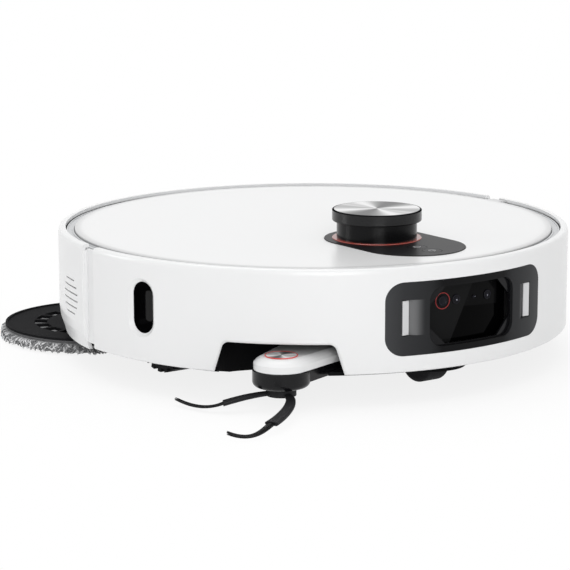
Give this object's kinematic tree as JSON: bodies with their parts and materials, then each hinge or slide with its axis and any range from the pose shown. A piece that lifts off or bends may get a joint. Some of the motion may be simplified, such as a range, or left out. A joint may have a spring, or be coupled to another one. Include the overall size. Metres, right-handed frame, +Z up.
{
  "type": "robot vacuum",
  "caption": "Round white robot vacuum and mop with a laser turret, a sprung bumper, a swinging side-brush arm and spinning mop pads.",
  "frame": {"origin": "on the floor, below the centre of the round body", "axes": "+Z up, -Y towards the front with the bumper's camera window, +X towards the robot's left"},
  "size_m": [0.3645, 0.3707, 0.1067],
  "materials": {
    "shell_white": "smooth, softly glossy white moulded plastic",
    "ring_grey": "light grey satin plastic",
    "light_white": "milky diffuser",
    "bezel_grey": "dark grey satin plastic",
    "panel_black": "glossy near-black plastic",
    "window_black": "deep black infrared window",
    "accent_red": "orange-red anodised look",
    "brushed_metal": "spin-brushed",
    "base_black": "fine-grained black plastic",
    "frame_grey": "grey structural plastic",
    "arm_black": "black plastic",
    "battery_blue": "shrink-wrapped cells",
    "board_green": "printed circuit board",
    "tank_clear": "frosted plastic",
    "bin_grey": "smoky plastic",
    "filter_white": "pleated filter paper",
    "brush_rubber": "soft black rubber",
    "bristle_black": "nylon bristles",
    "gear_grey": "dark grey glass-filled plastic",
    "rim_grey": "grey plastic",
    "tyre_black": "soft black rubber tread",
    "steel": "plain steel",
    "plate_grey": "dark grey plastic",
    "mop_fibre": "grey and white microfibre loops"
  },
  "bodies": {
    "chassis": {"rear_shell": "shell_white", "groove_ring": "ring_grey", "control_panel": "panel_black", "turret_cap": "panel_black", "turret_window": "window_black", "camera_glass": "window_black", "dock_window": "window_black", "camera_lenses": "window_black", "accent_ring": "accent_red", "camera_ring": "accent_red", "turret_disc": "brushed_metal", "base_plate": "base_black", "brush_chamber": "base_black", "wheel_wells": "base_black", "caster_cup": "base_black", "side_arm_bay": "base_black", "mop_bay": "base_black", "brush_guard": "base_black", "side_sensor": "base_black", "camera_housing": "base_black", "lidar_base": "base_black", "inner_frame": "frame_grey", "deck": "frame_grey", "air_duct": "frame_grey", "suction_fan": "frame_grey", "battery": "battery_blue", "main_board": "board_green", "water_tank": "tank_clear", "charge_contacts": "steel"},
    "bumper": {"bumper": "shell_white", "front_bezel": "bezel_grey", "window_trim": "window_black", "light_strips": "light_white"},
    "cover": {"top_cover": "shell_white"},
    "bin": {"dust_bin": "bin_grey", "bin_filter": "filter_white"},
    "power_key": {"power_key": "panel_black"},
    "home_key": {"home_key": "panel_black"},
    "lidar_head": {"lidar_head": "arm_black"},
    "side_arm": {"side_arm": "arm_black", "side_arm_cover": "shell_white", "side_arm_badge": "brushed_metal"},
    "side_brush": {"side_brush": "brush_rubber", "side_bristles": "bristle_black"},
    "suspension_left": {"suspension_left": "gear_grey"},
    "suspension_right": {"suspension_right": "gear_grey"},
    "wheel_left": {"wheel_left": "rim_grey", "tyre_left": "tyre_black"},
    "wheel_right": {"wheel_right": "rim_grey", "tyre_right": "tyre_black"},
    "caster_fork": {"caster_fork": "gear_grey"},
    "caster_wheel": {"caster_wheel": "tyre_black"},
    "main_brush": {"main_brush": "brush_rubber"},
    "mop_arm": {"mop_arm": "gear_grey"},
    "mop_lift_left": {"mop_sleeve_left": "steel"},
    "mop_lift_right": {"mop_sleeve_right": "steel"},
    "mop_left": {"mop_plate_left": "plate_grey", "mop_pad_left": "mop_fibre"},
    "mop_right": {"mop_plate_right": "plate_grey", "mop_pad_right": "mop_fibre"}
  },
  "joints": [
    {"name": "bumper_press", "type": "slide", "parent": "chassis", "child": "bumper", "axis": [0, 1, 0], "range_m": [0, 0.003], "stiffness_N_per_m": 600, "springref_m": -0.003},
    {"name": "cover_lift", "type": "slide", "parent": "chassis", "child": "cover", "axis": [0, 0, 1], "range_m": [0, 0.05]},
    {"name": "bin_lift", "type": "slide", "parent": "chassis", "child": "bin", "axis": [0, 0, 1], "range_m": [0, 0.03]},
    {"name": "power_press", "type": "slide", "parent": "chassis", "child": "power_key", "axis": [0, 0, -1], "range_m": [0, 0.0006], "stiffness_N_per_m": 300, "springref_m": -0.001},
    {"name": "home_press", "type": "slide", "parent": "chassis", "child": "home_key", "axis": [0, 0, -1], "range_m": [0, 0.0006], "stiffness_N_per_m": 300, "springref_m": -0.001},
    {"name": "lidar_spin", "type": "hinge", "parent": "chassis", "child": "lidar_head", "pos_m": [0, -0.0724, 0.085], "axis": [0, 0, 1], "continuous": true},
    {"name": "side_arm_swing", "type": "hinge", "parent": "chassis", "child": "side_arm", "pos_m": [-0.07701, -0.11101, 0.028], "axis": [0, 0, 1], "range_deg": [-48, 0]},
    {"name": "side_brush_spin", "type": "hinge", "parent": "side_arm", "child": "side_brush", "pos_m": [-0.11897, -0.13057, 0.012], "axis": [0, 0, 1], "continuous": true},
    {"name": "wheel_drop_left", "type": "hinge", "parent": "chassis", "child": "suspension_left", "pos_m": [0.101, -0.047, 0.05], "axis": [-1, 0, 0], "range_deg": [0, 12]},
    {"name": "wheel_drop_right", "type": "hinge", "parent": "chassis", "child": "suspension_right", "pos_m": [-0.101, -0.047, 0.05], "axis": [-1, 0, 0], "range_deg": [0, 12]},
    {"name": "wheel_spin_left", "type": "hinge", "parent": "suspension_left", "child": "wheel_left", "pos_m": [0.118, -0.004, 0.034], "axis": [1, 0, 0], "continuous": true},
    {"name": "wheel_spin_right", "type": "hinge", "parent": "suspension_right", "child": "wheel_right", "pos_m": [-0.118, -0.004, 0.034], "axis": [1, 0, 0], "continuous": true},
    {"name": "caster_swivel", "type": "hinge", "parent": "chassis", "child": "caster_fork", "pos_m": [0, -0.129, 0.035], "axis": [0, 0, 1], "continuous": true},
    {"name": "caster_roll", "type": "hinge", "parent": "caster_fork", "child": "caster_wheel", "pos_m": [0, -0.125, 0.016], "axis": [1, 0, 0], "continuous": true},
    {"name": "main_brush_spin", "type": "hinge", "parent": "chassis", "child": "main_brush", "pos_m": [0, -0.052, 0.0217], "axis": [1, 0, 0], "continuous": true},
    {"name": "mop_arm_swing", "type": "hinge", "parent": "chassis", "child": "mop_arm", "pos_m": [-0.05252, 0.1287, 0.024], "axis": [0, 0, 1], "range_deg": [0, 59]},
    {"name": "mop_lift_right", "type": "slide", "parent": "mop_arm", "child": "mop_lift_right", "axis": [0, 0, 1], "range_m": [0, 0.004]},
    {"name": "mop_lift_left", "type": "slide", "parent": "chassis", "child": "mop_lift_left", "axis": [0, 0, 1], "range_m": [0, 0.004]},
    {"name": "mop_spin_right", "type": "hinge", "parent": "mop_lift_right", "child": "mop_right", "pos_m": [-0.10301, 0.11817, 0.01], "axis": [0, 0, 1], "continuous": true},
    {"name": "mop_spin_left", "type": "hinge", "parent": "mop_lift_left", "child": "mop_left", "pos_m": [0.0695, 0.08, 0.01], "axis": [0, 0, 1], "continuous": true}
  ],
  "couplings": [
    {"joint": "bin_lift", "follows": "cover_lift", "ratio": 0.6}
  ]
}
